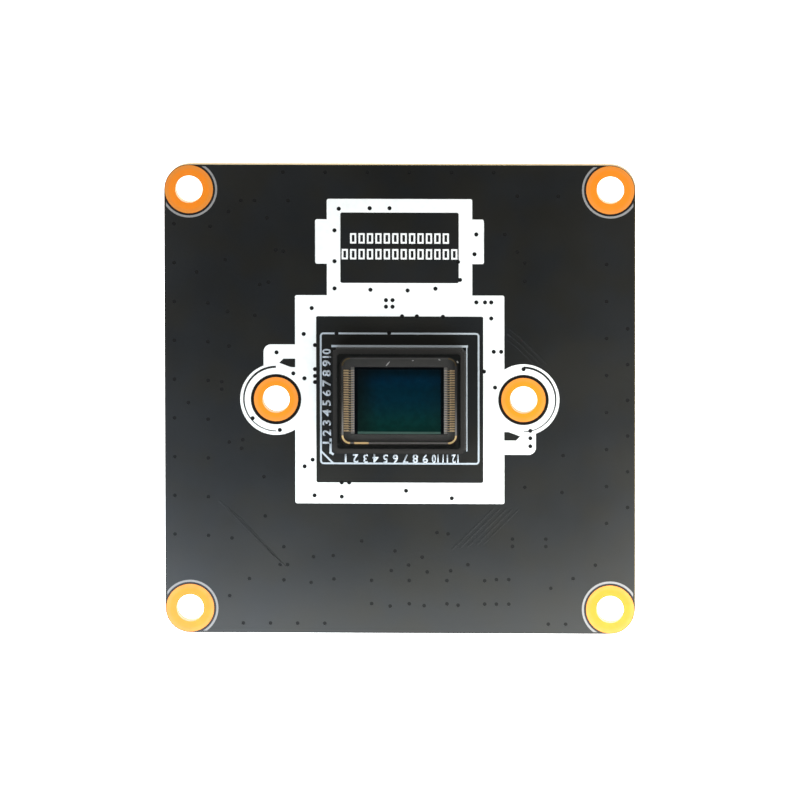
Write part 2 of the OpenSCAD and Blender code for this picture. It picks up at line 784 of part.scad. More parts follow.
module glass_seal() {
    color([0.08, 0.08, 0.07]) at_sensor(z_seal) linear_extrude(seal_t) difference() {
        glass_outline(seal_inset);
        rounded_rect(cavity_w + 2 * mouth_step, cavity_d + 2 * mouth_step, cavity_r + mouth_step);
    }
}

module cover_glass() {
    color([0.75, 0.85, 0.85, 0.25]) at_sensor(z_glass) linear_extrude(glass_t)
        glass_outline(0);
}

// ---- connectors ----

module connector_housing(sx) {
    inner_w = connector_w - 2 * housing_wall;
    inner_l = housing_l - 2 * housing_wall - 2 * well_end;
    row_l = contact_span + row_room;
    slot_w = contact_t + slot_play;
    color([0.85, 0.8, 0.68]) on_back(sx * connector_x, 0) difference() {
        translate([-connector_w / 2, -housing_l / 2, 0]) cube([connector_w, housing_l, connector_h]);
        // Mating well round the middle rib
        difference() {
            translate([-inner_w / 2, -inner_l / 2, housing_floor])
                cube([inner_w, inner_l, connector_h]);
            translate([-rib_w / 2, -row_l / 2, 0]) cube([rib_w, row_l, connector_h - rib_dip]);
        }
        // Room for the contacts' feet, and the slots that their blades rise through
        translate([-connector_w, -row_l / 2, -cut]) cube([2 * connector_w, row_l, cut + contact_t]);
        for (s = sides)
            translate([s * (rib_w + slot_w) / 2 - slot_w / 2, -row_l / 2, 0])
                cube([slot_w, row_l, housing_floor + cut]);
        // Cut corner that keys the mating half
        translate([-connector_w / 2 + housing_wall / 2, -inner_l / 2 - well_end, connector_h - key_cut])
            cube([key_cut, key_cut, key_cut + cut]);
    }
}

module contact() {
    tip = connector_w / 2 + foot_l;
    inner = rib_w / 2;
    rotate([90, 0, 0]) translate([0, 0, -contact_w / 2]) linear_extrude(contact_w) polygon([
        [inner, 0], [tip, 0], [tip, contact_t], [inner + contact_t, contact_t],
        [inner + contact_t, blade_h], [inner, blade_h]
    ]);
}

module connector_contacts(sx) {
    color([0.86, 0.74, 0.45]) on_back(sx * connector_x, 0)
        for (turn = [0, 180], i = [0:contacts_per_row - 1])
            translate([0, (i - (contacts_per_row - 1) / 2) * contact_pitch, 0])
                rotate(turn) contact();
}

// A bent tab at each end of the housing, soldered flat to the board
module connector_clips(sx) {
    color([0.75, 0.75, 0.76]) on_back(sx * connector_x, 0)
        for (turn = [0, 180])
            rotate(turn) translate([-clip_w / 2, housing_l / 2, 0]) rotate([90, 0, 90])
                linear_extrude(clip_w) polygon([
                    [0, 0], [clip_foot, 0], [clip_foot, clip_t], [clip_t, clip_t],
                    [clip_t, clip_h], [0, clip_h]
                ]);
}

// ---- regulators ----

// Side view of a moulded body that tapers from its middle to its top and its foot
module body_profile(length) {
    middle = (regulator_lift + regulator_h) / 2;
    half = length / 2;
    polygon([
        [regulator_draft - half, regulator_lift], [half - regulator_draft, regulator_lift],
        [half, middle], [half - regulator_draft, regulator_h],
        [regulator_draft - half, regulator_h], [-half, middle]
    ]);
}

module regulator_body(i) {
    color([0.09, 0.09, 0.1]) on_back(regulators[i], regulator_y) intersection() {
        rotate([90, 0, 0]) translate([0, 0, -regulator_w]) linear_extrude(2 * regulator_w)
            body_profile(regulator_l);
        rotate([90, 0, 90]) translate([0, 0, -regulator_l]) linear_extrude(2 * regulator_l)
            body_profile(regulator_w);
    }
}

// Gull-wing pin, standing out of the body's middle line towards +Y
module regulator_pin() {
    root = regulator_w / 2;
    tip = pin_span / 2;
    knee = tip - pin_foot;
    low = (regulator_lift + regulator_h - pin_t) / 2;
    rotate([90, 0, 90]) translate([0, 0, -pin_w / 2]) linear_extrude(pin_w) polygon([
        [root, low], [knee - pin_t / 2, low], [knee, 0], [tip, 0], [tip, pin_t],
        [knee + pin_t / 2, pin_t], [knee + pin_t / 2, low + pin_t], [root, low + pin_t]
    ]);
}

module regulator_pins(i) {
    color([0.78, 0.78, 0.79]) on_back(regulators[i], regulator_y) {
        for (x = [-pin_pitch, 0, pin_pitch]) translate([x, 0, 0]) regulator_pin();
        for (x = [-pin_pitch, pin_pitch]) translate([x, 0, 0]) mirror([0, 1, 0]) regulator_pin();
    }
}

// ---- oscillator ----

module oscillator_base() {
    color([0.55, 0.52, 0.46]) on_back(oscillator_x, oscillator_y)
        linear_extrude(oscillator_base_h) rounded_rect(oscillator_l, oscillator_w, oscillator_r);
}

module oscillator_lid() {
    l = oscillator_l - 2 * oscillator_step;
    w = oscillator_w - 2 * oscillator_step;
    color([0.8, 0.78, 0.7]) on_back(oscillator_x, oscillator_y)
        translate([0, 0, oscillator_base_h]) linear_extrude(oscillator_lid_h)
            rounded_rect(l, w, oscillator_r);
}

// ---- chip parts ----

module chip_bodies(places, size) {
    length = size.x * (1 - 2 * end_share);
    for (p = places)
        on_back(p.x, p.y, p.z) translate([-length / 2, end_lip - size.y / 2, end_lip])
            cube([length, size.y - 2 * end_lip, size.z - 2 * end_lip]);
}

module chip_ends(places, size) {
    length = size.x * end_share;
    for (p = places, s = sides)
        on_back(p.x, p.y, p.z)
            translate([s * (size.x - length) / 2 - length / 2, -size.y / 2, 0])
                cube([length, size.y, size.z]);
}

module decoupling_capacitors() { color([0.62, 0.5, 0.38]) chip_bodies(decoupling_places, decoupling_size); }
module decoupling_ends() { color([0.8, 0.8, 0.8]) chip_ends(decoupling_places, decoupling_size); }
module supply_capacitors() { color([0.6, 0.48, 0.36]) chip_bodies(supply_places, supply_size); }
module supply_ends() { color([0.8, 0.8, 0.8]) chip_ends(supply_places, supply_size); }
module bulk_capacitors() { color([0.58, 0.46, 0.35]) chip_bodies(bulk_places, bulk_size); }
module bulk_ends() { color([0.8, 0.8, 0.8]) chip_ends(bulk_places, bulk_size); }
module resistors() { color([0.1, 0.1, 0.11]) chip_bodies(resistor_places, resistor_size); }
module resistor_ends() { color([0.8, 0.8, 0.8]) chip_ends(resistor_places, resistor_size); }
module ferrite_beads() { color([0.2, 0.19, 0.19]) chip_bodies(bead_places, bead_size); }
module bead_ends() { color([0.8, 0.8, 0.8]) chip_ends(bead_places, bead_size); }

circuit_board();
solder_mask(z_front - mask_t);  // front_solder_mask
solder_mask(z_back);  // back_solder_mask
via_plugs();
corner_pad(-1, 1);  // corner_pad_1
corner_pad(1, 1);  // corner_pad_2
corner_pad(1, -1);  // corner_pad_3
corner_pad(-1, -1);  // corner_pad_4
holder_pad(-1);  // holder_pad_left
holder_pad(1);  // holder_pad_right
holder_print();
corner_print();
sensor_outline_print();
label_marks();
solder_lands();
sensor_package();
ledge_ring();
package_marks();
chip_glue();
sensor_chip();
pixel_array();
chip_pads();
bond_fingers();
bond_wires();
glass_seal();
cover_glass();
connector_housing(-1);  // connector_housing_left
connector_housing(1);  // connector_housing_right
connector_contacts(-1);  // connector_contacts_left
connector_contacts(1);  // connector_contacts_right
connector_clips(-1);  // connector_clips_left
connector_clips(1);  // connector_clips_right
regulator_body(0);  // regulator_body_1
regulator_body(1);  // regulator_body_2
regulator_body(2);  // regulator_body_3
regulator_body(3);  // regulator_body_4
regulator_pins(0);  // regulator_pins_1
regulator_pins(1);  // regulator_pins_2
regulator_pins(2);  // regulator_pins_3
regulator_pins(3);  // regulator_pins_4
oscillator_base();
oscillator_lid();
decoupling_capacitors();
decoupling_ends();
supply_capacitors();
supply_ends();
bulk_capacitors();
bulk_ends();
resistors();
resistor_ends();
ferrite_beads();
bead_ends();
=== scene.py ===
"""Camera sensor board: the finish of every piece, and the numbers, dark rings, tracks, glue
specks and solder that lie on the board. Lengths are in metres, and places come from the frame."""

import math

import bmesh
import bpy
from mathutils import Matrix, Vector


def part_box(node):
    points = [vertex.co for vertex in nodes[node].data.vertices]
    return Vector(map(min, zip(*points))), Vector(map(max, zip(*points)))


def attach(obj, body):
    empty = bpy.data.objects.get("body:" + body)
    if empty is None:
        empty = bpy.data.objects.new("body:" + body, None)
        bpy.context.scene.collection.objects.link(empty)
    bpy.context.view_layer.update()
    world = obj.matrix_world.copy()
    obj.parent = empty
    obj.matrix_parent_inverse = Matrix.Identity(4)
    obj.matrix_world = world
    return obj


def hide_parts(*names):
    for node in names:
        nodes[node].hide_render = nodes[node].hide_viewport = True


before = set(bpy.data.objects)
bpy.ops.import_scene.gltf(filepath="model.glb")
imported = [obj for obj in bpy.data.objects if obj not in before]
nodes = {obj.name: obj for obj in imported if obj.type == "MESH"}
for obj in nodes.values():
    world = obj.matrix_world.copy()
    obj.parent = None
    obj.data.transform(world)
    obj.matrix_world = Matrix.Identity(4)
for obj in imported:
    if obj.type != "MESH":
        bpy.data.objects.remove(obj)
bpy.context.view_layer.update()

MM = 0.001
BODY = "root"
UPRIGHT = (0, 0, 1)
WELD = 0.0005 * MM  # corners closer than this are one
FLAT = math.radians(1)  # faces that meet under this angle are one face
SHARP = math.radians(30)  # edges over this angle are rounded
CORNER_PADS = [f"corner_pad_{index}" for index in range(1, 5)]
HOLDER_PADS = ["holder_pad_left", "holder_pad_right"]

face_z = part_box("front_solder_mask")[1].z
back_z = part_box("back_solder_mask")[0].z
print_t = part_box("holder_print")[1].z - face_z


# ---- material nodes ----


class Socket:
    """One output of a material's nodes, which takes part in sums."""

    def __init__(self, finish, output):
        self.finish = finish
        self.output = output

    def combine(self, operation, first, second):
        return self.finish.node("Math", {"operation": operation}, {0: first, 1: second})

    def __add__(self, other):
        return self.combine("ADD", self, other)

    def __radd__(self, other):
        return self.combine("ADD", other, self)

    def __mul__(self, other):
        return self.combine("MULTIPLY", self, other)

    def __rmul__(self, other):
        return self.combine("MULTIPLY", other, self)

    def size(self):
        """The value without its sign."""
        return self.combine("ABSOLUTE", self, 0.0)


class Finish:
    """A material: its shader's fixed values, and the one method that adds nodes to it."""

    def __init__(self, name, fixed):
        self.material = bpy.data.materials.new(name)
        self.material.use_nodes = True
        self.tree = self.material.node_tree
        self.shader = self.tree.nodes["Principled BSDF"]
        for socket, value in fixed.items():
            self.feed(socket, value)

    def plug(self, socket, value):
        if isinstance(value, Socket):
            self.tree.links.new(value.output, socket)
        elif socket.type == "RGBA":
            socket.default_value = (*value, 1.0)
        else:
            socket.default_value = value

    def feed(self, socket, value):
        """Sets or links one of the shader's own sockets."""
        self.plug(self.shader.inputs[socket], value)

    def node(self, kind, settings=None, inputs=None, output=0):
        """Adds a node: its settings first, then the values or links of its sockets."""
        made = self.tree.nodes.new("ShaderNode" + kind)
        for name, value in (settings or {}).items():
            if name == "stops":
                for index, (position, colour) in enumerate(value):
                    elements = made.color_ramp.elements
                    stop = elements[index] if index < 2 else elements.new(position)
                    stop.position = position
                    stop.color = (*colour, 1.0)
            else:
                setattr(made, name, value)
        for key, value in (inputs or {}).items():
            self.plug(made.inputs[key], value)
        return Socket(self, made.outputs[output])

    def place(self, centre=(0, 0, 0), stretch=(1, 1, 1)):
        """The object's own coordinates, counted from a centre and stretched."""
        own = self.node("TexCoord", output="Object")
        shift = [-middle * scale for middle, scale in zip(centre, stretch)]
        return self.node("Mapping", None, {"Vector": own, "Location": shift, "Scale": stretch})

    def axis(self, letter, centre=(0, 0, 0)):
        """How far a point lies from a centre along X, Y or Z, in metres."""
        return self.node("SeparateXYZ", None, {0: self.place(centre)}, output=letter)

    def noise(self, grain, detail=2.0, stretch=(1, 1, 1)):
        """Soft noise from 0 to 1 with patches about one grain wide."""
        inputs = {"Vector": self.place(stretch=stretch), "Scale": 1 / grain, "Detail": detail}
        return self.node("TexNoise", None, inputs)

    def ramp(self, value, low, high, start=0.0, end=1.0):
        """Turns a value that runs from low to high smoothly into one from start to end."""
        inputs = {"Value": value, "From Min": low, "From Max": high, "To Min": start, "To Max": end}
        return self.node("MapRange", {"interpolation_type": "SMOOTHSTEP"}, inputs)

    def mix(self, factor, first, second):
        """A colour that goes from the first to the second as the factor goes from 0 to 1."""
        inputs = {"Factor": factor, 6: first, 7: second}
        return self.node("Mix", {"data_type": "RGBA"}, inputs, output=2)

    def bump(self, height, depth):
        """Raises the surface by the height, which goes from 0 to 1, times the depth."""
        self.feed("Normal", self.node("Bump", None, {"Height": height, "Distance": depth}))


def dress(finish, *names):
    """Gives CAD nodes a finish."""
    for name in names:
        nodes[name].data.materials.clear()
        nodes[name].data.materials.append(finish.material)


# ---- finishes ----


def laminate_finish():
    """Woven glass and resin: pale and tan plies on the board's edge, painted shade on its top."""
    finish = Finish("laminate", {"Specular IOR Level": 0.4})
    ply = finish.noise(0.12 * MM, 2.0, (0.08, 0.08, 1))
    speck = finish.noise(0.09 * MM, 3.0)
    tan = finish.mix(ply, (0.30, 0.20, 0.07), (0.60, 0.47, 0.21))
    plies = finish.mix(finish.ramp(speck, 0.6, 0.75), tan, (0.68, 0.60, 0.38))
    top_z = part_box("circuit_board")[1].z
    # Painted shade: the top face is darkened, as it lies in shade at the bottom of the lacquer's
    # narrow gaps
    shaded_top = finish.ramp(finish.axis("Z", (0, 0, top_z)), -0.02 * MM, 0.0)
    finish.feed("Base Color", finish.mix(shaded_top, plies, (0.016, 0.012, 0.008)))
    finish.feed("Roughness", finish.ramp(ply, 0.2, 0.8, 0.55, 0.75))
    finish.bump(speck, 0.01 * MM)
    return finish


def solder_mask_finish():
    """Black lacquer with a soft gloss, a faint orange peel and patches of a warm or cold tint."""
    finish = Finish("solder_mask", {"Specular IOR Level": 0.65})
    cloud = finish.noise(7 * MM, 3.0)
    tint = finish.ramp(finish.noise(4 * MM, 2.0), 0.35, 0.65)
    peel = finish.noise(0.35 * MM, 2.0)
    grain = finish.noise(0.06 * MM, 1.0)
    cold = (0.0034, 0.0046, 0.0056)
    warm = (0.0050, 0.0048, 0.0030)
    finish.feed("Base Color", finish.mix(tint, cold, warm))
    finish.feed("Roughness", finish.ramp(cloud + 0.3 * grain, 0.3, 1.0, 0.34, 0.40))
    finish.bump(peel * 0.7 + grain * 0.3, 0.0025 * MM)
    return finish


def via_plug_finish():
    """Filling of the vias, duller than the lacquer round them."""
    finish = Finish("via_filling", {"Specular IOR Level": 0.26})
    grain = finish.noise(0.08 * MM, 2.0)
    finish.feed("Base Color", finish.mix(grain, (0.002, 0.002, 0.002), (0.005, 0.005, 0.005)))
    finish.feed("Roughness", finish.ramp(grain, 0.3, 0.7, 0.46, 0.56))
    finish.bump(grain, 0.004 * MM)
    return finish


def gold_plate_finish(name):
    """Orange gold plate under a clear film, paler and duller towards the pad's rim."""
    low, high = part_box(name)
    middle = (low + high) / 2
    rim = (high.x - low.x) / 2
    finish = Finish("gold_plate", {"Metallic": 1.0, "Coat Weight": 1.0, "Coat Roughness": 0.4})
    patch = finish.noise(0.9 * MM, 3.0)
    grain = finish.noise(0.05 * MM, 2.0)
    flat = finish.place((middle.x, middle.y, 0), (1, 1, 0))
    radius = finish.node("VectorMath", {"operation": "LENGTH"}, {0: flat}, output="Value")
    plate = finish.mix(patch, (1.0, 0.34, 0.008), (1.0, 0.40, 0.018))
    worn = finish.ramp(radius, rim - 0.45 * MM, rim - 0.15 * MM)
    finish.feed("Base Color", finish.mix(worn, plate, (0.92, 0.38, 0.055)))
    finish.feed("Roughness", finish.ramp(patch, 0.25, 0.75, 0.7, 0.8))
    finish.bump(grain, 0.004 * MM)
    return finish


def print_finish(name, ink):
    """Screen print: matte ink, a little thinner in places."""
    finish = Finish(name, {"Specular IOR Level": 0.3})
    thin = finish.noise(0.5 * MM, 4.0)
    grain = finish.noise(0.07 * MM, 2.0)
    worn = [0.94 * level for level in ink]
    finish.feed("Base Color", finish.mix(finish.ramp(thin, 0.3, 0.75), ink, worn))
    finish.feed("Roughness", finish.ramp(grain, 0.2, 0.8, 0.55, 0.7))
    finish.bump(grain * 0.6 + thin * 0.4, 0.006 * MM)
    return finish


def package_finish():
    """Dark ceramic, paler on the sawn ledges inside the cavity."""
    finish = Finish("package_ceramic", {"Specular IOR Level": 0.35})
    grain = finish.noise(0.05 * MM, 3.0)
    patch = finish.noise(0.8 * MM, 3.0)
    rim_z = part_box("sensor_package")[1].z - 0.2 * MM
    ledge_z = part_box("bond_fingers")[0].z + 0.15 * MM
    inside = finish.ramp(finish.axis("Z"), rim_z, ledge_z)
    outer = finish.mix(grain, (0.010, 0.009, 0.008), (0.019, 0.017, 0.015))
    ledge = finish.mix(patch, (0.047, 0.045, 0.042), (0.060, 0.058, 0.055))
    finish.feed("Base Color", finish.mix(inside, outer, ledge))
    finish.feed("Roughness", finish.ramp(grain, 0.3, 0.7, 0.5, 0.7))
    finish.bump(grain, 0.006 * MM)
    return finish


def seal_finish():
    """Black glue under the rim of the cover glass."""
    finish = Finish("seal", {"Specular IOR Level": 0.15})
    patch = finish.noise(0.3 * MM, 3.0)
    finish.feed("Base Color", finish.mix(patch, (0.003, 0.0034, 0.0034), (0.006, 0.0065, 0.006)))
    finish.feed("Roughness", finish.ramp(patch, 0.3, 0.7, 0.4, 0.6))
    return finish


def silicon_finish():
    """Dark chip, a pale strip under each row of pads, and a painted highlight band below the pixels.
    """
    low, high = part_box("pixel_array")
    finish = Finish("chip_silicon", {"Specular IOR Level": 0.05, "Roughness": 0.4})
    across = finish.axis("X", (low + high) / 2).size()
    along = finish.axis("Y")
    grain = finish.noise(0.08 * MM, 2.0)
    blur = 0.02 * MM
    plain = finish.mix(grain, (0.0001, 0.0008, 0.0022), (0.0003, 0.0013, 0.0030))
    # Painted highlight: a pale teal band where the lower edge of the die catches the light
    painted_lit_band = finish.ramp(along, low.y + blur, low.y - blur)
    painted_lit_band = painted_lit_band * finish.ramp(across, high.x + blur, high.x - blur)
    below = finish.mix(painted_lit_band, plain, (0.062, 0.118, 0.098))
    strip = finish.ramp(across, high.x + 0.25 * MM, high.x + 0.28 * MM)
    finish.feed("Base Color", finish.mix(strip, below, (0.19, 0.18, 0.17)))
    return finish


def pixel_finish():
    """Colour filters with a painted iridescent sheen, blue above and green below, and painted shade at
    the sides and top.
    """
    low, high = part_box("pixel_array")
    width = high.x - low.x
    finish = Finish("pixel_filter", {"Specular IOR Level": 0.03})
    across = finish.axis("X")
    along = finish.axis("Y")
    rise = finish.node("MapRange", None, {"Value": along, "From Min": low.y, "From Max": high.y})
    # Painted iridescent sheen, fixed in place though the real one changes with the angle; the last
    # stop is a painted shadow along the top edge
    stops = [
        (0.0, (0.0022, 0.028, 0.023)),
        (0.18, (0.0024, 0.034, 0.033)),
        (0.34, (0.0018, 0.029, 0.038)),
        (0.5, (0.0010, 0.0245, 0.042)),
        (0.66, (0.0002, 0.0215, 0.038)),
        (0.82, (0.0001, 0.0215, 0.048)),
        (0.95, (0.0001, 0.010, 0.019)),
    ]
    painted_sheen = finish.node("ValToRGB", {"stops": stops}, {"Fac": rise})
    # Painted shade towards the left and right sides
    left = finish.ramp(across, low.x + 0.3 * width, low.x, 0.0, 0.9)
    right = finish.ramp(across, high.x - 0.25 * width, high.x, 0.0, 0.3)
    shade = finish.mix(rise, (0.0050, 0.0185, 0.0155), (0.0025, 0.0048, 0.0062))
    mottle = finish.noise(0.5 * MM, 3.0)
    colour = finish.mix(right, finish.mix(left, painted_sheen, shade), shade)
    darker = finish.mix(0.2, colour, (0.0, 0.002, 0.003))
    finish.feed("Base Color", finish.mix(finish.ramp(mottle, 0.35, 0.65), darker, colour))
    finish.feed("Roughness", finish.ramp(mottle, 0.3, 0.7, 0.3, 0.36))
    return finish


def painted_light_metal_finish(name, rear, front, painted_glow):
    """Plated trim on the ledge: painted shade at the rear, a painted highlight and glow at the front.
    """
    finish = Finish(name, {"Metallic": 1.0, "Roughness": 0.75, "Emission Strength": 1.0})
    grain = finish.noise(0.05 * MM, 2.0)
    rear_y = 1.0 * MM
    front_y = -3.0 * MM
    # Painted light: the colour brightens and glows from the rear to the front
    painted_light_ramp = finish.ramp(finish.axis("Y"), rear_y, front_y)
    finish.feed("Base Color", finish.mix(painted_light_ramp, rear, front))
    finish.feed("Emission Color", finish.mix(painted_light_ramp, (0.0, 0.0, 0.0), painted_glow))
    finish.bump(grain, 0.003 * MM)
    return finish


def metal_finish(name, dark, light, rough, grain, depth, stretch=(1, 1, 1)):
    """Bare metal with a fine grain, which a stretch turns into brush lines."""
    finish = Finish(name, {"Metallic": 1.0})
    patch = finish.noise(12 * grain, 2.0, stretch)
    fine = finish.noise(grain, 3.0, stretch)
    finish.feed("Base Color", finish.mix(patch, dark, light))
    finish.feed("Roughness", finish.ramp(fine, 0.25, 0.75, rough - 0.06, rough + 0.08))
    finish.bump(fine, depth)
    return finish


def moulded_finish(name, dark, light, rough, grain, depth, gloss=0.4):
    """Moulded or fired material with a speckled grain."""
    finish = Finish(name, {"Specular IOR Level": gloss})
    patch = finish.noise(8 * grain, 3.0)
    fine = finish.noise(grain, 3.0)
    finish.feed("Base Color", finish.mix(patch * 0.6 + fine * 0.4, dark, light))
    finish.feed("Roughness", finish.ramp(fine, 0.25, 0.75, rough - 0.08, rough + 0.08))
    finish.bump(fine, depth)
    return finish


def glass_finish():
    """Clear glass: it reflects as glass does, and lets the rest through."""
    mirror = {"Metallic": 1.0, "Roughness": 0.03, "Base Color": (0.95, 1.0, 1.0)}
    finish = Finish("cover_glass", mirror)
    gloss = finish.node("Fresnel", None, {"IOR": 1.4})
    smear = finish.ramp(finish.noise(1.5 * MM, 3.0), 0.45, 0.8, 0.0, 0.012)
    finish.feed("Alpha", gloss * 0.6 + smear)
    return finish


# ---- shapes ----


def box_middle(name):
    """The middle of a CAD node's box."""
    low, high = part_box(name)
    return (low + high) / 2


def merged_copy(name):
    """A bmesh of a CAD node whose loose triangles are joined into closed shells."""
    shape = bmesh.new()
    shape.from_mesh(nodes[name].data)
    bmesh.ops.remove_doubles(shape, verts=shape.verts, dist=WELD)
    return shape


def make_piece(name, shape, finish):
    """Turns a bmesh into a finished piece that rides on the board."""
    mesh = bpy.data.meshes.new(name)
    shape.to_mesh(mesh)
    shape.free()
    mesh.materials.append(finish.material)
    made = bpy.data.objects.new(name, mesh)
    bpy.context.scene.collection.objects.link(made)
    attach(made, BODY)
    return made


def outer_edges(shape):
    """The sharp edges that stand out, which a tool or a mould leaves rounded."""
    closed = [edge for edge in shape.edges if edge.is_manifold and edge.is_convex]
    return [edge for edge in closed if edge.calc_face_angle(0) > SHARP]


def soften(name, finish, width):
    """Shows a CAD node with its outer edges rounded."""
    shape = merged_copy(name)
    bmesh.ops.dissolve_limit(shape, angle_limit=FLAT, verts=shape.verts, edges=shape.edges)
    bmesh.ops.bevel(
        shape,
        geom=outer_edges(shape),
        offset=width,
        offset_type="OFFSET",
        segments=2,
        profile=0.5,
        affect="EDGES",
        clamp_overlap=True,
        material=-1,
    )
    made = make_piece(name + "_rounded", shape, finish)
    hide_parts(name)
    return made


def solids(name):
    """The lowest and highest corner of each separate solid in a CAD node."""
    shape = merged_copy(name)
    shape.verts.index_update()
    waiting = [True] * len(shape.verts)
    boxes = []
    for first in shape.verts:
        if not waiting[first.index]:
            continue
        waiting[first.index] = False
        reached = [first]
        for vert in reached:
            for edge in vert.link_edges:
                other = edge.other_vert(vert)
                if waiting[other.index]:
                    waiting[other.index] = False
                    reached.append(other)
        corners = [vert.co for vert in reached]
        low = Vector([min(c[i] for c in corners) for i in range(3)])
        high = Vector([max(c[i] for c in corners) for i in range(3)])
        boxes.append((low, high))
    shape.free()
    return boxes


def add_copies(target, template, places):
    """Adds a copy of a template bmesh at each place, which is a matrix."""
    mesh = bpy.data.meshes.new("template")
    template.to_mesh(mesh)
    for place in places:
        start = len(target.verts)
        target.from_mesh(mesh)
        target.verts.ensure_lookup_table()
        bmesh.ops.transform(target, matrix=place, verts=target.verts[start:])
    bpy.data.meshes.remove(mesh)
    template.free()


def stand(x, y, z, turn=0.0, size=(1, 1, 1)):
    """The matrix that scales a template, turns it about Z and stands it at a point."""
    scale = Matrix.Diagonal((*size, 1.0))
    return Matrix.Translation((x, y, z)) @ Matrix.Rotation(turn, 4, "Z") @ scale


def thicken(shape, reach):
    """Gives flat faces a thickness, from their plane along a vector."""
    made = bmesh.ops.extrude_face_region(shape, geom=shape.faces[:])
    moved = [item for item in made["geom"] if isinstance(item, bmesh.types.BMVert)]
    bmesh.ops.translate(shape, vec=reach, verts=moved)
    bmesh.ops.recalc_face_normals(shape, faces=shape.faces)


def curve_shape(curve):
    """The bmesh of a curve or a text."""
    carrier = bpy.data.objects.new(curve.name, curve)
    bpy.context.scene.collection.objects.link(carrier)
    mesh = bpy.data.meshes.new_from_object(carrier)
    bpy.data.objects.remove(carrier)
    shape = bmesh.new()
    shape.from_mesh(mesh)
    bpy.data.meshes.remove(mesh)
    return shape


def numeral(label, height, breadth):
    """A plain printed number of a given height, its middle at the origin."""
    letters = bpy.data.curves.new("numeral", "FONT")
    letters.body = label
    letters.offset = 0.025  # a broader stroke, as a share of the letter size
    letters.resolution_u = 4
    letters.fill_mode = "FRONT"
    shape = curve_shape(letters)
    xs = [vert.co.x for vert in shape.verts]
    ys = [vert.co.y for vert in shape.verts]
    middle = Vector(((min(xs) + max(xs)) / 2, (min(ys) + max(ys)) / 2, 0))
    bmesh.ops.translate(shape, vec=-middle, verts=shape.verts)
    scale = height / (max(ys) - min(ys))
    bmesh.ops.scale(shape, vec=(scale * breadth, scale, 1), verts=shape.verts)
    thicken(shape, (0, 0, print_t))
    return shape


# ---- printed marks ----


def index_numbers(finish):
    """Row numbers up the sensor's left side, and column numbers upside down under it."""
    rows = 10
    columns = 12
    one_digit = 9  # numbers past this one have two digits, and are set narrower
    row_pitch = 0.806 * MM
    column_pitch = 0.805 * MM
    row_height = 0.7 * MM
    column_height = 0.72 * MM
    first_y = -4.36 * row_pitch
    first_x = -5.44 * column_pitch
    row_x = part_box("sensor_package")[0].x - 0.57 * MM
    column_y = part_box("sensor_outline_print")[0].y + 0.14 * MM + column_height / 2
    shape = bmesh.new()
    for row in range(rows):
        label = numeral(str(row + 1), row_height, 1.15 if row < one_digit else 0.95)
        y = first_y + row * row_pitch
        add_copies(shape, label, [stand(row_x, y, face_z, math.pi / 2)])
    for column in range(columns):
        label = numeral(str(column + 1), column_height, 0.95 if column < one_digit else 0.7)
        x = first_x + column * column_pitch
        add_copies(shape, label, [stand(x, column_y, face_z, math.pi)])
    make_piece("index_numbers", shape, finish)


# ---- dark rings and tracks ----


def flat_ring(inner, outer, thickness):
    """A flat ring round the origin, as a closed shell."""
    ring = bmesh.new()
    section = [(inner, 0), (outer, 0), (outer, thickness), (inner, thickness)]
    verts = [ring.verts.new((radius, 0, height)) for radius, height in section]
    edges = [ring.edges.new((verts[i - 1], verts[i])) for i in range(4)]
    bmesh.ops.spin(
        ring,
        geom=verts + edges,
        cent=(0, 0, 0),
        axis=UPRIGHT,
        angle=2 * math.pi,
        steps=96,
        use_merge=True,
        use_duplicate=False,
    )
    bmesh.ops.remove_doubles(ring, verts=ring.verts, dist=WELD)
    return ring


def dark_rings(finish):
    """A dark ring round each lens-holder pad, between the gold and the print: bare board with painted
    shade.
    """
    shape = bmesh.new()
    for name in HOLDER_PADS:
        low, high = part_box(name)
        rim = (high.x - low.x) / 2
        middle = box_middle(name)
        ring = flat_ring(rim + 0.02 * MM, rim + 0.2 * MM, 0.004 * MM)
        add_copies(shape, ring, [stand(middle.x, middle.y, face_z)])
    bmesh.ops.recalc_face_normals(shape, faces=shape.faces)
    make_piece("dark_rings", shape, finish)


def tracks(name, routes, z, finish):
    """Buried copper tracks, which show as low ridges in the lacquer."""
    half = 0.08 * MM
    ridge = 0.0006 * MM
    curve = bpy.data.curves.new(name, "CURVE")
    curve.dimensions = "3D"
    curve.bevel_depth = 1.0
    curve.bevel_resolution = 2
    for route in routes:
        spline = curve.splines.new("POLY")
        spline.points.add(len(route) - 1)
        for point, (x, y) in zip(spline.points, route):
            point.co = (x * MM / half, y * MM / half, 0, 1)
    shape = curve_shape(curve)
    # The round section has a radius of one here, and is pressed into a low ridge
    flatten = stand(0, 0, z, size=(half, half, ridge))
    bmesh.ops.transform(shape, matrix=flatten, verts=shape.verts)
    bmesh.ops.recalc_face_normals(shape, faces=shape.faces)
    made = make_piece(name, shape, finish)
    made.data.shade_smooth()


def bundle(count, *bends):
    """Tracks side by side: each bend is a point, then its step from one track to the next."""
    return [
        [(x + step_x * track, y + step_y * track) for x, y, step_x, step_y in bends]
        for track in range(count)
    ]


def front_routes():
    """Bundles of tracks that run out from under the sensor's print, in millimetres."""
    right = bundle(3, (8.7, 5.9, 0, -0.5), (9.6, 5.2, 0, -0.5), (11.9, 2.9, -0.45, -0.05))
    front_right = bundle(5, (4.2, -12.2, 0.62, 0.1), (7.6, -8.8, 0.5, -0.02))
    front_left = bundle(4, (-14.6, -8.3, 0.55, -0.45), (-10.2, -12.7, 0.3, -0.3))
    return right + front_right + front_left


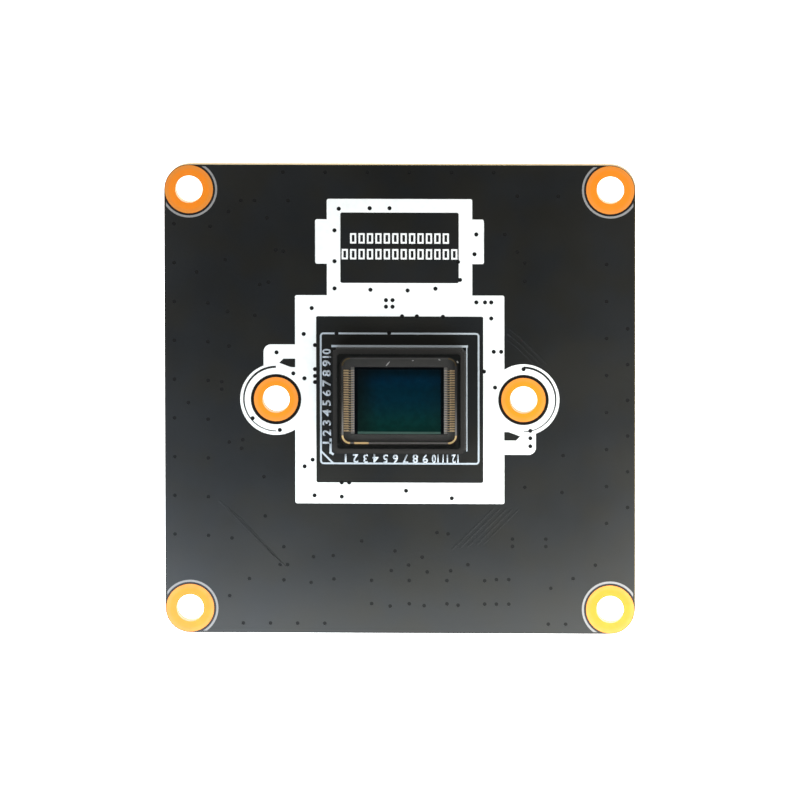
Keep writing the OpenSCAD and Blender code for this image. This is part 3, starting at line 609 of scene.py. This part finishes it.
def back_routes():
    """Tracks that fan in from the connectors' inner contacts, in millimetres."""
    hole_reach = 2.3  # no track comes this close to the line through the lens-holder holes
    shortest = 0.5
    longer = 0.45
    turn_in = 0.6
    turn_out = 0.3
    routes = []
    for name in ("connector_contacts_left", "connector_contacts_right"):
        middle_x = box_middle(name).x
        side = math.copysign(1, middle_x)
        feet = [box for box in solids(name) if side * (box[0].x + box[1].x) / 2 < side * middle_x]
        for index, (low, high) in enumerate(sorted(feet, key=lambda box: box[0].y)):
            x = (low.x if side > 0 else high.x) / MM
            y = (low.y + high.y) / 2 / MM
            if abs(y) < hole_reach:
                continue
            bend = x - side * (shortest + longer * (index % 3))
            end = (bend - side * turn_in, y + math.copysign(turn_out, y))
            routes.append([(x, y), (bend, y), end])
    return routes


# ---- solder ----


def fillet():
    """A unit solder fillet: it rises in a hollow curve to a wall at x = 0."""
    shape = bmesh.new()
    toe = shape.verts.new((1, -0.5, 0))
    bmesh.ops.spin(
        shape,
        geom=[toe],
        cent=(1, -0.5, 1),
        axis=(0, 1, 0),
        angle=math.pi / 2,
        steps=5,
        use_merge=False,
        use_duplicate=False,
    )
    curve = sorted(shape.verts, key=lambda vert: vert.co.z)
    heel = shape.verts.new((0, -0.5, 0))
    shape.faces.new([heel] + curve)
    thicken(shape, (0, 1, 0))
    return shape


def foot_places(low, high, outward, reach, rise):
    """Where a fillet stands in front of a metal foot on the back of the board."""
    middle = (low + high) / 2
    half = (high - low) / 2
    along = abs(outward.x) > abs(outward.y)
    x = middle.x + math.copysign(half.x, outward.x) if along else middle.x
    y = middle.y if along else middle.y + math.copysign(half.y, outward.y)
    width = 2 * (half.y if along else half.x)
    # The back faces down, so a fillet is turned upside down
    return stand(x, y, back_z, math.atan2(outward.y, outward.x), (reach, width, -rise))


def chip_feet(name, rise_share, reach_share):
    """Fillet places at both ends of every small chip part in a node."""
    boxes = solids(name)
    middles = [(low + high) / 2 for low, high in boxes]
    places = []
    for index, (low, high) in enumerate(boxes):
        others = middles[:index] + middles[index + 1 :]
        partner = min(others, key=lambda other: (other - middles[index]).length)
        away = middles[index] - partner
        outward = Vector((away.x, 0, 0)) if abs(away.x) > abs(away.y) else Vector((0, away.y, 0))
        tall = high.z - low.z
        places.append(foot_places(low, high, outward, reach_share * tall, rise_share * tall))
    return places


def pin_feet(name, centre, axis, reach, rise):
    """Fillet places at the tips of pins that point away from a centre."""
    places = []
    for low, high in solids(name):
        away = (low + high) / 2 - centre
        outward = Vector((away.x, 0, 0)) if axis == "x" else Vector((0, away.y, 0))
        places.append(foot_places(low, high, outward, reach, rise))
    return places


def solder_joints(finish):
    """Solder in front of every foot and chip end on the back."""
    places = []
    for name in ("decoupling_ends", "supply_ends", "bulk_ends", "resistor_ends", "bead_ends"):
        places += chip_feet(name, 0.55, 0.45)
    for index in range(1, 5):
        centre = box_middle(f"regulator_body_{index}")
        places += pin_feet(f"regulator_pins_{index}", centre, "y", 0.14 * MM, 0.12 * MM)
    for side in ("left", "right"):
        centre = box_middle(f"connector_housing_{side}")
        places += pin_feet(f"connector_contacts_{side}", centre, "x", 0.16 * MM, 0.11 * MM)
        places += pin_feet(f"connector_clips_{side}", centre, "y", 0.25 * MM, 0.16 * MM)
    shape = bmesh.new()
    add_copies(shape, fillet(), places)
    bmesh.ops.recalc_face_normals(shape, faces=shape.faces)
    make_piece("solder_joints", shape, finish)


def wire_ends(finish):
    """A small ball of gold where each bond wire meets the chip."""
    ball = bmesh.new()
    radius = 0.04 * MM
    bmesh.ops.create_icosphere(ball, subdivisions=1, radius=radius)
    bmesh.ops.scale(ball, vec=(1, 1, 0.6), verts=ball.verts)
    places = []
    for low, high in solids("bond_wires"):
        end_x = min((low.x, high.x), key=abs)
        x = end_x + math.copysign(radius / 2, end_x)
        places.append(stand(x, (low.y + high.y) / 2, low.z))
    shape = bmesh.new()
    add_copies(shape, ball, places)
    make_piece("wire_ends", shape, finish)


def glue_specks(finish):
    """A few pale specks of glue on the cover glass and on the package's rear corners."""
    glass_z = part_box("cover_glass")[1].z
    package_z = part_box("sensor_package")[1].z
    # Each speck's middle, its length and its width in millimetres, and its turn in degrees
    specks = [
        (-0.85, 3.11, glass_z, 0.5, 0.09, 50),
        (1.16, 3.37, glass_z, 0.16, 0.08, 10),
        (3.3, 3.44, glass_z, 0.18, 0.1, 160),
        (4.76, 3.27, glass_z, 0.2, 0.12, 120),
        (4.93, 4.02, package_z, 0.3, 0.12, 130),
        (-4.93, 4.04, package_z, 0.24, 0.1, 45),
    ]
    shape = bmesh.new()
    thickness = 0.006 * MM
    for x, y, top_z, length, width, turn in specks:
        speck = bmesh.new()
        bmesh.ops.create_icosphere(speck, subdivisions=2, radius=0.5)
        size = (length * MM, width * MM, thickness)
        z = top_z - thickness / 2
        add_copies(shape, speck, [stand(x * MM, y * MM, z, math.radians(turn), size)])
    make_piece("glue_specks", shape, finish)


# ---- the object ----

mask = solder_mask_finish()
white = print_finish("white_print", (0.95, 0.97, 0.96))
line_white = print_finish("line_print", (0.50, 0.56, 0.61))
arc_white = print_finish("arc_print", (0.30, 0.295, 0.295))
number_white = print_finish("number_print", (0.60, 0.66, 0.72))
tin = metal_finish(
    "tin", (0.55, 0.55, 0.56), (0.78, 0.78, 0.8),
    rough=0.34, grain=0.05 * MM, depth=0.004 * MM,
)
solder = metal_finish(
    "solder", (0.6, 0.6, 0.62), (0.85, 0.85, 0.87),
    rough=0.22, grain=0.12 * MM, depth=0.006 * MM,
)
gold_wire = metal_finish(
    "gold_wire", (0.62, 0.47, 0.28), (0.8, 0.63, 0.4),
    rough=0.6, grain=0.03 * MM, depth=0.002 * MM,
)
finger_gold = metal_finish(
    "finger_gold", (0.6, 0.46, 0.29), (0.88, 0.7, 0.46),
    rough=0.75, grain=0.04 * MM, depth=0.002 * MM,
)
# Ledge marks and ring: painted shade at the rear, a painted highlight and a painted glow at the front
mark_gold = painted_light_metal_finish("mark_gold", (0.22, 0.17, 0.1), (1.0, 0.85, 0.58), (0.42, 0.28, 0.12))
ring_metal = painted_light_metal_finish("ring_metal", (0.15, 0.145, 0.14), (0.6, 0.58, 0.57), (0.01, 0.01, 0.01))
pad_metal = metal_finish(
    "chip_pad", (0.40, 0.38, 0.37), (0.52, 0.49, 0.47),
    rough=0.7, grain=0.03 * MM, depth=0.002 * MM,
)
contact_gold = metal_finish(
    "contact_metal", (0.72, 0.5, 0.2), (0.9, 0.66, 0.3),
    rough=0.3, grain=0.05 * MM, depth=0.003 * MM,
)
lid = metal_finish(
    "lid_metal", (0.5, 0.47, 0.4), (0.72, 0.69, 0.6),
    rough=0.3, grain=0.02 * MM, depth=0.003 * MM, stretch=(0.1, 1, 1),
)
plastic = moulded_finish(
    "connector_plastic", (0.62, 0.54, 0.38), (0.7, 0.62, 0.46),
    rough=0.45, grain=0.06 * MM, depth=0.003 * MM,
)
moulding = moulded_finish(
    "moulding", (0.010, 0.010, 0.011), (0.022, 0.022, 0.024),
    rough=0.55, grain=0.05 * MM, depth=0.006 * MM,
)
chip_ceramic = moulded_finish(
    "capacitor_ceramic", (0.30, 0.19, 0.10), (0.42, 0.29, 0.17),
    rough=0.42, grain=0.04 * MM, depth=0.003 * MM,
)
glaze = moulded_finish(
    "resistor_glaze", (0.008, 0.008, 0.009), (0.016, 0.016, 0.018),
    rough=0.25, grain=0.08 * MM, depth=0.003 * MM,
)
ferrite = moulded_finish(
    "ferrite", (0.035, 0.033, 0.032), (0.06, 0.057, 0.055),
    rough=0.65, grain=0.04 * MM, depth=0.005 * MM,
)
base_ceramic = moulded_finish(
    "oscillator_ceramic", (0.2, 0.17, 0.12), (0.3, 0.26, 0.19),
    rough=0.5, grain=0.04 * MM, depth=0.004 * MM,
)
# Bare board with painted shade, for the dark rings round the lens-holder pads
bare_and_shade = moulded_finish(
    "bare_laminate_and_shade", (0.006, 0.0045, 0.003), (0.014, 0.010, 0.007),
    rough=0.7, grain=0.05 * MM, depth=0.003 * MM, gloss=0.1,
)
glue = moulded_finish(
    "chip_glue", (0.3, 0.3, 0.29), (0.45, 0.45, 0.43),
    rough=0.45, grain=0.05 * MM, depth=0.004 * MM,
)

dress(laminate_finish(), "circuit_board")
dress(mask, "front_solder_mask", "back_solder_mask")
dress(via_plug_finish(), "via_plugs")
for name in CORNER_PADS + HOLDER_PADS:
    dress(gold_plate_finish(name), name)
dress(white, "holder_print", "label_marks")
dress(line_white, "sensor_outline_print")
dress(arc_white, "corner_print")
dress(solder, "solder_lands")
dress(package_finish(), "sensor_package")
dress(mark_gold, "package_marks")
dress(ring_metal, "ledge_ring")
dress(glue, "chip_glue")
dress(silicon_finish(), "sensor_chip")
dress(pixel_finish(), "pixel_array")
dress(pad_metal, "chip_pads")
dress(finger_gold, "bond_fingers")
dress(gold_wire, "bond_wires")
dress(seal_finish(), "glass_seal")
dress(contact_gold, "connector_contacts_left", "connector_contacts_right")
dress(tin, "connector_clips_left", "connector_clips_right")
for index in range(1, 5):
    dress(tin, f"regulator_pins_{index}")
    soften(f"regulator_body_{index}", moulding, 0.05 * MM)
soften("connector_housing_left", plastic, 0.06 * MM)
soften("connector_housing_right", plastic, 0.06 * MM)
soften("oscillator_base", base_ceramic, 0.04 * MM)
soften("oscillator_lid", lid, 0.05 * MM)
dress(glass_finish(), "cover_glass")
for part, finish, slot in (
    ("decoupling_capacitors", chip_ceramic, "capacitor_ceramic"),
    ("supply_capacitors", chip_ceramic, "capacitor_ceramic"),
    ("bulk_capacitors", chip_ceramic, "capacitor_ceramic"),
    ("resistors", glaze, "resistor_glaze"),
    ("ferrite_beads", ferrite, "ferrite"),
):
    soften(part, finish, 0.02 * MM)
for part in ("decoupling_ends", "supply_ends", "bulk_ends", "resistor_ends", "bead_ends"):
    soften(part, tin, 0.04 * MM)

index_numbers(number_white)
dark_rings(bare_and_shade)
tracks("front_tracks", front_routes(), face_z, mask)
tracks("back_tracks", back_routes(), back_z, mask)
solder_joints(solder)
wire_ends(gold_wire)
glue_specks(glue)


# ---- floor, light and camera ----


def floor():
    """A pale floor that glows softly, as a light table does."""
    shape = bmesh.new()
    bmesh.ops.create_grid(shape, x_segments=1, y_segments=1, size=0.6)
    mesh = bpy.data.meshes.new("floor")
    shape.to_mesh(mesh)
    shape.free()
    pale = Finish("pale_floor", {"Base Color": (0.9, 0.9, 0.9), "Roughness": 0.8})
    pale.feed("Emission Color", (1.0, 1.0, 1.0))
    pale.feed("Emission Strength", 1.6)
    mesh.materials.append(pale.material)
    made = bpy.data.objects.new("floor", mesh)
    bpy.context.scene.collection.objects.link(made)


def room(zenith, horizon):
    """Soft light all round, dimmer overhead than at the sides."""
    world = bpy.data.worlds.new("room")
    world.use_nodes = True
    bpy.context.scene.world = world
    tree = world.node_tree
    place = tree.nodes.new("ShaderNodeTexCoord")
    split = tree.nodes.new("ShaderNodeSeparateXYZ")
    level = tree.nodes.new("ShaderNodeMapRange")
    level.interpolation_type = "SMOOTHSTEP"
    rise = {"From Min": 0.25, "From Max": 0.95, "To Min": horizon, "To Max": zenith}
    for socket, value in rise.items():
        level.inputs[socket].default_value = value
    tree.links.new(place.outputs["Generated"], split.inputs[0])
    tree.links.new(split.outputs["Z"], level.inputs["Value"])
    tree.links.new(level.outputs[0], tree.nodes["Background"].inputs["Strength"])
    tree.nodes["Background"].inputs["Color"].default_value = (1.0, 1.0, 1.0, 1.0)


def softbox(name, place, target, side, glow, colour):
    """A soft square light of an even glow, which the camera doesn't see."""
    light = bpy.data.lights.new(name, "AREA")
    light.shape = "SQUARE"
    light.size = side
    light.energy = glow * math.pi * side * side
    light.color = colour
    made = bpy.data.objects.new(name, light)
    made.location = place
    made.rotation_euler = (Vector(place) - Vector(target)).to_track_quat("Z", "Y").to_euler()
    made.visible_camera = False
    bpy.context.scene.collection.objects.link(made)


def camera():
    """Almost straight above the board, through a long lens."""
    aim = Vector((0.0229 * MM, -0.0351 * MM, face_z))
    distance = 0.9168
    tilt = math.radians(5.866)
    side = math.radians(2.675)
    roll = math.radians(-0.081)
    level = math.cos(side)
    back = Vector((math.sin(side), math.sin(tilt) * level, math.cos(tilt) * level))
    lens = bpy.data.cameras.new("camera")
    lens.sensor_width = 36.0
    lens.lens = 511.0
    made = bpy.data.objects.new("camera", lens)
    right = Vector((0, 1, 0)).cross(back).normalized()
    up = back.cross(right)
    turned = Matrix((right, up, back)).transposed() @ Matrix.Rotation(roll, 3, "Z")
    made.matrix_world = Matrix.Translation(aim + distance * back) @ turned.to_4x4()
    bpy.context.scene.collection.objects.link(made)
    bpy.context.scene.camera = made


floor()
room(0.03, 0.5)
softbox("front", (0.0, -0.03, 0.02), (0.0, -0.012, 0.0), 0.03, 2.3, (0.96, 1.0, 0.97))
softbox("front_left", (-0.03, -0.03, 0.035), (-0.012, -0.012, 0.0), 0.03, 5.4, (0.9, 1.0, 1.12))
softbox("front_right", (0.03, -0.03, 0.035), (0.012, -0.012, 0.0), 0.03, 6.6, (0.98, 1.0, 0.98))
softbox("low_right", (0.04, -0.015, 0.02), (0.01, -0.01, 0.0), 0.03, 4.4, (1.0, 1.0, 0.98))
softbox("right", (0.035, 0.01, 0.035), (0.0, 0.005, 0.0), 0.03, 1.0, (1.0, 1.0, 1.0))
softbox("left", (-0.035, 0.02, 0.035), (0.0, 0.01, 0.0), 0.03, 0.9, (1.0, 1.0, 0.98))
softbox("rear", (0.0, 0.08, 0.07), (0.0, 0.0, 0.0), 0.05, 2.8, (1.0, 0.98, 0.92))
camera()
bpy.context.scene.view_settings.view_transform = "Standard"
